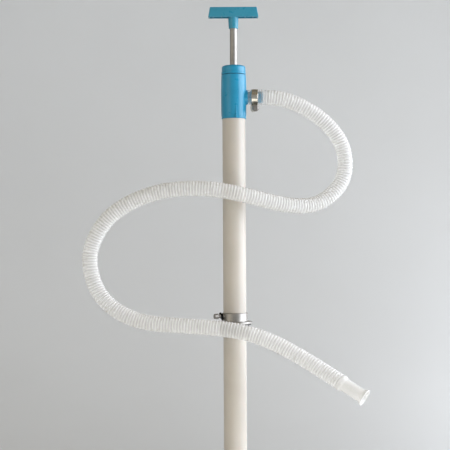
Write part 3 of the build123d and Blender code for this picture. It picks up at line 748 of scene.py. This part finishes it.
class PUMP_OT_hose(bpy.types.Operator):
    """Lays the ribbed delivery hose along its route, with its cuff and nozzle"""

    bl_idname = "pump.hose"
    bl_label = "Delivery Hose"

    def execute(self, context):
        settings = context.scene.pump_hose
        line = self.hose_line()
        bpy.context.view_layer.update()
        view = bpy.context.evaluated_depsgraph_get()
        centreline = bpy.data.meshes.new_from_object(line.evaluated_get(view))
        material = ribbed_pvc(settings.colour)
        hose = grow(
            line,
            "ribbed_hose",
            pitch=settings.pitch,
            radius=settings.radius,
            depth=settings.depth,
            rings=6.0,
            sides=28,
            material=material,
        )
        wall = hose.modifiers.new("wall", "SOLIDIFY")
        wall.thickness = settings.wall
        wall.offset = -1
        plain(hose)
        hose.data.shade_smooth()
        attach(hose, "pump")
        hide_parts("delivery_hose")
        smooth = clear_pvc("smooth_clear_pvc", settings.colour, 0.28, 0.8)
        cuff = self.make_cuff(clear_pvc("stretched_clear_pvc", settings.colour, 0.09, 0.5))
        nozzle = self.make_nozzle(smooth, settings.radius / MM)
        return {"FINISHED"}

    def hose_line(self):
        """The hose's centreline: one smooth curve pulled towards the route's points."""
        data = bpy.data.curves.new("delivery_hose_line", "CURVE")
        data.dimensions = "3D"
        data.resolution_u = 24
        spline = data.splines.new("NURBS")
        spline.points.add(len(HOSE_ROUTE) - 1)
        for point, place in zip(spline.points, HOSE_ROUTE):
            point.co = (*place, 1)
        spline.order_u = 3
        spline.use_endpoint_u = True
        return show(bpy.data.objects.new("ribbed_hose", data))

    def make_cuff(self, material):
        """The hose's smooth end on the spigot: it stretches over the barbs and ends in a bead."""
        bore = 8.55
        outer = (CUFF_HIGH.z - CUFF_LOW.z) / 2
        start, end = CUFF_LOW.x, CUFF_HIGH.x
        outline = [(bore, start), (outer - 0.6, start), (outer, start + 0.6), (outer, end - 3.6)]
        outline += arc(outer - 0.3, end - 1.7, 1.7 / 1.5, 100, -80)
        outline += [(outer - 0.6, end), (bore, end)]
        cuff = lathe("hose_cuff", outline)
        put(cuff, SPIGOT_PLACE)
        return fit_out(cuff, material, "pump", "clear_pvc", "hose_inlet_cuff")

    def make_nozzle(self, material, hose_r):
        """The hose's smooth end: a shoulder down to a plain barrel, and a flared rim."""
        length = 38.0
        barrel = 9.0
        bore = 7.2
        rim = 11.6
        outline = [(bore, 0), (hose_r - 0.1, 0), (hose_r, 0.6), (hose_r, 3.0)]
        outline += [(hose_r - 0.4, 4.0), (barrel + 0.4, 5.6), (barrel, 6.6), (barrel, length - 6.5)]
        outline += [(barrel + 0.5, length - 4.6), (rim - 0.9, length - 2.4)]
        outline += arc(rim - 0.8, length - 0.8, 0.8, -40, 150, 8)
        outline += [(barrel + 0.2, length - 2.2), (bore + 0.5, length - 4.6), (bore, length - 6.5)]
        nozzle = lathe("hose_nozzle_end", outline)
        end, before = Vector(HOSE_ROUTE[-1]), Vector(HOSE_ROUTE[-2])
        put(nozzle, on_axis(end - before, end / MM))
        return fit_out(nozzle, material, "pump", "clear_pvc", "hose_nozzle")


class PUMP_OT_hose_clamp(bpy.types.Operator):
    """Makes the worm-drive clamp on the hose's cuff"""

    bl_idname = "pump.hose_clamp"
    bl_label = "Hose Clamp"

    def execute(self, context):
        steel = worked_metal("rolled_stainless_steel")
        zinc = bpy.data.materials["zinc_plated_steel"]
        outer = (BAND_HIGH.z - BAND_LOW.z) / 2
        thickness = 0.7
        inner = outer - thickness
        middle = (BAND_LOW.x + BAND_HIGH.x) / 2
        half = (BAND_HIGH.x - BAND_LOW.x) / 2
        outline = [(inner, -half), (outer - 0.1, -half), (outer + 0.15, -half + 0.35), (outer, -half + 1)]
        outline += [(outer, half - 1), (outer + 0.15, half - 0.35), (outer - 0.1, half), (inner, half)]
        band = lathe("clamp_band", outline, 128)
        grow(
            band,
            "ring_of_cuts",
            count=40,
            ring_radius=outer,
            height=0.0,
            block=(0.5, 0.75, 4.6),
            material=steel,
        )
        put(band, on_axis((1, 0, 0), (middle, 0, SPIGOT_Z)))
        fit_out(band, steel, "pump", "stainless", "hose_clamp_band")
        centre = (middle, 0, SPIGOT_Z - outer - 4.4)
        self.make_housing(steel, centre, outer, middle)
        self.make_worm(zinc, centre)
        return {"FINISHED"}

    def make_housing(self, steel, centre, band_r, middle):
        """The pressed housing that holds the worm on the band."""
        barrel, bore, half = 4.3, 3.25, WORM_HALF
        outline = arc(0, 0, barrel, -90, 90, 16) + [(-barrel - 1, barrel), (-barrel - 1, -barrel)]
        housing = soften(prism("clamp_housing", outline, -half, half), 0.5)
        turned = on_axis(WORM_AXIS, centre) @ Matrix.Rotation(-pi, 4, "Z")  # flat side up at the band
        put(housing, turned)
        reach = 20  # of the cutting tools, past both sides
        saddle = cylinder("saddle", band_r + 0.1, -reach, reach, 96)
        put(saddle, on_axis((1, 0, 0), (middle, 0, SPIGOT_Z)))
        hole = put(cylinder("hole", bore, -reach, reach, 48), on_axis(WORM_AXIS, centre))
        cut(housing, saddle, hole)
        for side in (-3.7, 3.7):
            fold = cylinder("fold", 1.5, half - 5, half + 1, 24)
            put(fold, turned @ Matrix.Translation((-4.0, side, 0)))
            cut(housing, fold)
        fit_out(housing, steel, "pump", "stainless", "hose_clamp_housing")

    def make_worm(self, zinc, centre):
        """The worm screw: its thread in the housing, a washer face and a slotted hex head."""
        half = WORM_HALF
        core, collar, flats = 2.6, 4.6, 7.0
        outline = [(0, -half), (core - 0.3, -half), (core, -half + 0.3), (core, half + 0.4)]
        outline += [(collar - 0.2, half + 0.4), (collar, half + 0.6), (collar, half + 1.1)]
        outline += [(collar - 0.2, half + 1.3), (0, half + 1.3)]
        worm = lathe("clamp_worm", outline, 48)
        grow(
            worm,
            "thread",
            turns=5.0,
            root_radius=core,
            length=10.5,
            bottom=-half + 1.2,
            ridge=0.6,
            steps=32,
            material=zinc,
        )
        reach = flats / 2 / cos(pi / 6)
        hexagon = [(reach * cos(pi / 3 * k), reach * sin(pi / 3 * k)) for k in range(6)]
        head = soften(prism("hex", hexagon, half + 1, half + 5), 0.35)
        slot = block("slot", (-6, -0.6, half + 3.8), (6, 0.6, half + 6))
        combine(worm, head)
        cut(worm, slot)
        put(worm, on_axis(WORM_AXIS, centre))
        fit_out(worm, zinc, "worm", "zinc_plate", "hose_clamp_screw")


class PUMP_OT_adaptor(bpy.types.Operator):
    """Makes the drum adaptor with its bung thread, flange and collar"""

    bl_idname = "pump.adaptor"
    bl_label = "Drum Adaptor"

    def execute(self, context):
        zinc = worked_metal("zinc_plated_steel")
        crest, root, pitch = 20.95, 19.75, 2.309  # of a G 1 1/4 pipe thread
        neck, collar, pocket, groove = 20.5, 17.8, 19.0, 19.5
        pocket_top = -2.2
        seat = GASKET_HIGH.z
        low = ADAPTOR_LOW.z
        top = ADAPTOR_HIGH.z
        flange_r = ADAPTOR_HIGH.x
        outline = [(pocket, low), (root - 0.5, low), (root, low + 0.5), (root, -0.8), (neck, 0)]
        outline += [(neck, seat), (flange_r - 0.3, seat), (flange_r, seat + 0.3), (flange_r, 4.2)]
        outline += arc(flange_r - 0.8, 4.2, 0.8, 0, 90, 4)
        outline += [(18.8, 5.0), (18.1, 5.3), (collar, 6.0), (collar, top - 0.8)]
        outline += arc(17.0, top - 0.8, 0.8, 0, 90, 4)
        outline += [(16.6, top), (COLLAR_BORE_R, top - 0.3)]
        outline += [(COLLAR_BORE_R, pocket_top), (pocket, pocket_top)]
        outline += [(pocket, -13.5), (groove, -13.5), (groove, -14.7), (pocket, -14.7)]
        adaptor = lathe("adaptor_body", outline, 128)
        flat = ADAPTOR_HIGH.y
        for side in (-1, 1):
            near, far = sorted((side * flat, side * (flat + 5)))
            cut(adaptor, block("flat", (-30, near, seat - 0.5), (30, far, 6)))
        wound = abs(low) - 2.6  # the length that the thread takes up
        grow(
            adaptor,
            "thread",
            turns=wound / pitch,
            root_radius=root + 0.05,
            length=wound,
            bottom=low + 1.5,
            ridge=crest - root - 0.05,
            steps=72,
            material=zinc,
        )
        lug = lathe("lug", [(0, 15.0), (4.2, 15.0), (4.2, 18.4), (3.8, 18.8), (0, 18.8)], 48)
        put(lug, CLAMP_PLACE)
        hole = cylinder("hole", CLAMP_HOLE_R, 12, 22, 48)
        put(hole, CLAMP_PLACE)
        combine(adaptor, lug)
        bore = cylinder("bore", COLLAR_BORE_R, pocket_top, top - 0.3, 128)
        cut(adaptor, bore, hole)
        fit_out(adaptor, zinc, "adaptor", "zinc_plate", "drum_adaptor")
        return {"FINISHED"}


class PUMP_OT_thumb_screw(bpy.types.Operator):
    """Makes the clamping screw with its knurled head, and the wing nut on it"""

    bl_idname = "pump.thumb_screw"
    bl_label = "Thumb Screw"

    def execute(self, context):
        zinc = bpy.data.materials["zinc_plated_steel"]
        black = bpy.data.materials["black_oxide_steel"]
        tip, neck, end = 17.4, 25.5, 31.3  # distances from the tube's axis
        outline = [(0, tip), (1.9, tip), (2.3, tip + 0.5), (2.3, neck)]
        outline += [(3.2, neck), (3.6, neck + 0.4), (3.6, end - 0.5)]
        outline += [(3.1, end), (1.4, end), (1.0, end - 0.3), (0, end - 0.3)]
        screw = lathe("thumb_screw", outline, 72)
        grow(
            screw,
            "ring_of_cuts",
            count=20,
            ring_radius=3.75,
            height=(neck + end) / 2,
            block=(0.7, 0.55, end - neck - 1.2),
            material=zinc,
        )
        grow(
            screw,
            "thread",
            turns=8.0,
            root_radius=2.2,
            length=6.4,
            bottom=tip + 0.9,
            ridge=0.3,
            steps=32,
            material=zinc,
        )
        put(screw, CLAMP_PLACE)
        fit_out(screw, zinc, "thumbscrew", "zinc_plate", "clamp_screw")
        low, high = 19.1, 22.1
        wings = soften(prism("wing_nut", rounded_bar(12.4, 3.0), low, high), 0.9, 4)
        hub = [(0, low), (3.6, low), (3.9, low + 0.3), (3.2, high - 0.2), (2.9, high), (0, high)]
        combine(wings, lathe("hub", hub, 48))
        hole = cylinder("hole", CLAMP_HOLE_R, low - 2, high + 2, 48)
        cut(wings, hole)
        put(wings, CLAMP_PLACE @ Matrix.Rotation(self.wing_turn(), 4, "Z"))
        fit_out(wings, black, "thumbscrew", "black_steel", "clamp_wing_nut")
        return {"FINISHED"}

    def wing_turn(self):
        """The turn about the screw that tilts the wings from upright as far as in the CAD model."""
        tilt = radians(42)
        to_screw = CLAMP_PLACE.to_3x3().inverted()
        upright = to_screw @ Vector((0, 0, 1))
        across = to_screw @ CLAMP_AXIS.cross(Vector((0, 0, 1)))
        wing = upright * cos(tilt) + across * sin(tilt)
        return -Vector((1, 0)).angle_signed(wing.to_2d())


class PUMP_OT_head(bpy.types.Operator):
    """Makes the blue head with its spigot and ribs, and its screw cap"""

    bl_idname = "pump.head"
    bl_label = "Head and Cap"

    def execute(self, context):
        blue = moulded_polypropylene("moulded_blue_polypropylene", context.scene.pump_body.head)
        self.make_head(blue)
        self.make_cap(blue)
        return {"FINISHED"}

    def barrel_radius(self, share):
        """The barrel's radius from its foot, share 0, to its top, share 1."""
        return 17.2 - 0.1 * share + 0.55 * 4 * share * (1 - share)

    def make_head(self, blue):
        """The barrel, its two tapered ribs and the barbed spigot, with their bores."""
        low, high = HEAD_LOW.z, HEAD_HIGH.z
        steps = 24
        outline = [(15.0, low), (16.9, low), (17.15, low + 0.3), (17.15, low + 1.1), (16.95, low + 1.35)]
        for step in range(2, steps):
            share = step / steps
            outline.append((self.barrel_radius(share), low + share * (high - low)))
        outline += [(17.05, high - 0.5), (16.6, high), (15.0, high)]
        head = lathe("head_body", outline, 128)
        combine(head, cylinder("plug", 15.2, low + 0.5, high - 0.5, 96))
        for turn in (-80, 100):
            rib = prism("rib", [(16.0, -2.0), (18.7, -0.9), (18.7, 0.9), (16.0, 2.0)], low + 0.5, low + 21)
            for vertex in rib.data.vertices:
                if vertex.co.z > low + 10 and vertex.co.x > 17:
                    vertex.co.x = 17.6
            soften(rib, 0.45)
            put(rib, Matrix.Rotation(radians(turn), 4, "Z"))
            combine(head, rib)
        combine(head, self.make_spigot())
        socket, barrel, thread = 16.05, 13.5, 14.5  # radii round the tube, the liquid and the cap
        shoulder, ledge = TUBE_HIGH.z + 0.1, CAP_LOW.z - 1
        bore = [(0, low - 1), (socket, low - 1), (socket, shoulder), (barrel, shoulder)]
        bore += [(barrel, ledge), (thread, ledge), (thread, high + 1), (0, high + 1)]
        cut(head, lathe("bore", bore, 128))
        outlet = cylinder("outlet", 6.5, 5, 50, 64)
        put(outlet, SPIGOT_PLACE)
        cut(head, outlet)
        fit_out(head, blue, "pump", "blue_plastic", "pump_head")

    def make_spigot(self):
        """The spigot: a plain collar that grows out of the barrel, then three barbs."""
        collar, neck, barb, end = 10.4, 8.0, 8.5, HEAD_HIGH.x
        outline = [(0, 10), (collar, 10), (collar, 18.8), (collar - 0.6, 19.4), (neck, 19.4)]
        for tooth in (2, 1, 0):
            tip = end - 1 - 6 * tooth
            outline += [(neck, tip - 4.3), (barb, tip - 4), (neck, tip)]
        outline += [(neck - 0.4, end), (0, end)]
        spigot = lathe("spigot", outline, 96)
        return put(spigot, SPIGOT_PLACE)

    def make_cap(self, blue):
        """The screw cap: a skirt, a small step and a rounded shoulder up to the rod's hole."""
        low, high = 348.0, CAP_HIGH.z  # the skirt's foot and the cap's top
        outer = CAP_HIGH.x
        thread, gland, gland_top = 14.45, 8.0, 355.0
        outline = [(gland, CAP_LOW.z), (14.1, CAP_LOW.z), (thread, CAP_LOW.z + 0.4), (thread, low)]
        outline += [(outer - 0.4, low), (outer, low + 0.4), (outer, 351.1), (outer - 0.15, 351.4)]
        outline += [(outer - 0.5, 351.6), (outer - 0.5, high - 3.2)]
        outline += arc(outer - 3.7, high - 3.2, 3.2, 0, 90, 10)
        outline += [(8.6, high), (8.3, high - 0.25), (6.4, high - 0.25), (5.9, high), (5.4, high - 0.5)]
        outline += [(5.4, gland_top), (gland, gland_top)]
        cap = lathe("cap_body", outline, 128)
        fit_out(cap, blue, "pump", "blue_plastic", "head_cap")


class PUMP_OT_handle(bpy.types.Operator):
    """Makes the hollow T-handle with its ribs and boss"""

    bl_idname = "pump.handle"
    bl_label = "T-Handle"

    def execute(self, context):
        teal = moulded_polypropylene("moulded_teal_polypropylene", context.scene.pump_body.handle)
        low, high = 427.6, BAR_HIGH.z  # the bar's underside and top
        foot = (BAR_HIGH.x, BAR_HIGH.y)
        crown = (32.5, 6.5)
        wall = 2.0
        shell = soften(self.frustum("handle_body", foot, crown, low, high), 0.9, 4)
        shrunk_foot = (foot[0] - wall, foot[1] - wall)
        shrunk_crown = (crown[0] - wall, crown[1] - wall)
        hollow = self.frustum("hollow", shrunk_foot, shrunk_crown, low - 0.01, high - wall)
        cut(shell, hollow)
        grow(
            shell,
            "rib_row",
            count=6,
            pitch=11.0,
            height=(low + high) / 2,
            rib=(1.6, 2 * crown[1] - 1.6, high - low - 2),
            material=teal,
        )
        boss = [(0, BAR_LOW.z), (6.2, BAR_LOW.z), (6.5, BAR_LOW.z + 0.3), (7.2, low), (6.4, low + 1)]
        boss += [(6.4, high - 1), (0, high - 1)]
        combine(shell, lathe("boss", boss, 96))
        socket = cylinder("socket", ROD_R + 0.05, BAR_LOW.z - 1, ROD_HIGH.z + 0.1, 96)
        cut(shell, socket)
        fit_out(shell, teal, "rod", "teal_plastic", "t_handle")
        return {"FINISHED"}

    def frustum(self, name, foot, crown, low, high):
        """A four-sided block that narrows from its foot to its crown, each given by its half sizes."""
        shape = block(name, (-1, -1, low), (1, 1, high))
        for vertex in shape.data.vertices:
            half = foot if vertex.co.z < (low + high) / 2 else crown
            vertex.co.x *= half[0]
            vertex.co.y *= half[1]
        return shape


class PUMP_OT_strainer(bpy.types.Operator):
    """Makes the slotted strainer under the foot valve"""

    bl_idname = "pump.strainer"
    bl_label = "Strainer"

    def execute(self, context):
        pipe = bpy.data.materials["extruded_grey_pipe"]
        low, high = STRAINER_LOW.z, STRAINER_HIGH.z
        outer = STRAINER_HIGH.x
        wall = 1.8
        inner = outer - wall
        outline = [(0, low), (inner, low), *arc(inner, low + wall, wall, -90, 0, 5)]
        outline += [(outer, high - 0.4), (outer - 0.4, high), (11.05, high), (11.05, high - 3)]
        outline += [(inner, high - 3), (inner, low + 2.4), (inner - 0.4, low + 2), (0, low + 2)]
        strainer = lathe("strainer_body", outline, 96)
        grow(
            strainer,
            "ring_of_cuts",
            count=12,
            ring_radius=outer - 1,
            height=low + 13,
            block=(5.0, 2.5, 18.0),
            material=pipe,
        )
        fit_out(strainer, pipe, "pump", "grey_pp", "foot_strainer")
        return {"FINISHED"}


class PUMP_OT_cad_pieces(bpy.types.Operator):
    """Gives the pieces that keep their CAD shape their materials"""

    bl_idname = "pump.cad_pieces"
    bl_label = "Pipe, Rod and Inner Pieces"

    def execute(self, context):
        made = {
            "grey_pp": extruded_pipe("extruded_grey_pipe", context.scene.pump_body.pipe),
            "stainless": worked_metal("drawn_stainless_steel"),
            "black_rubber": nitrile_rubber(),
            "white_plastic": turned_acetal(),
            "brass": worked_metal("turned_brass"),
            "glass_ball": ground_glass(),
            "black_steel": worked_metal("black_oxide_steel"),
        }
        for part in frame["record"]["subparts"]:
            if part["material_slot"] in made:
                dress(frame["nodes"][part["node"]], made[part["material_slot"]])
        return {"FINISHED"}


OPERATORS = (
    PUMP_OT_stage,
    PUMP_OT_cad_pieces,
    PUMP_OT_adaptor,
    PUMP_OT_thumb_screw,
    PUMP_OT_hose_clamp,
    PUMP_OT_hose,
    PUMP_OT_head,
    PUMP_OT_handle,
    PUMP_OT_strainer,
)


class PUMP_PT_panel(bpy.types.Panel):
    """The pump's pieces and their settings"""

    bl_idname = "PUMP_PT_panel"
    bl_label = "Drum Barrel Pump"
    bl_space_type = "VIEW_3D"
    bl_region_type = "UI"
    bl_category = "Pump"

    def draw(self, context):
        for operator in OPERATORS:
            self.layout.operator(operator.bl_idname)
        for group in (context.scene.pump_hose, context.scene.pump_body, context.scene.pump_stage):
            box = self.layout.box()
            for name in type(group).__annotations__:
                box.prop(group, name)


SETTINGS = {
    "pump_hose": PumpHoseSettings,
    "pump_body": PumpBodySettings,
    "pump_stage": PumpStageSettings,
}
CLASSES = (*SETTINGS.values(), *OPERATORS, PUMP_PT_panel)


def register():
    for made in CLASSES:
        bpy.utils.register_class(made)
    for name, group in SETTINGS.items():
        setattr(bpy.types.Scene, name, bpy.props.PointerProperty(type=group))


def unregister():
    for name in SETTINGS:
        delattr(bpy.types.Scene, name)
    for made in reversed(CLASSES):
        bpy.utils.unregister_class(made)


def main():
    """Builds the stage and every piece."""
    register()
    for build_tree in (ribbed_hose_tree, thread_tree, ring_cut_tree, rib_row_tree):
        build_tree()
    for operator in OPERATORS:
        group, name = operator.bl_idname.split(".")
        getattr(getattr(bpy.ops, group), name)()


if __name__ == "__main__":
    main()
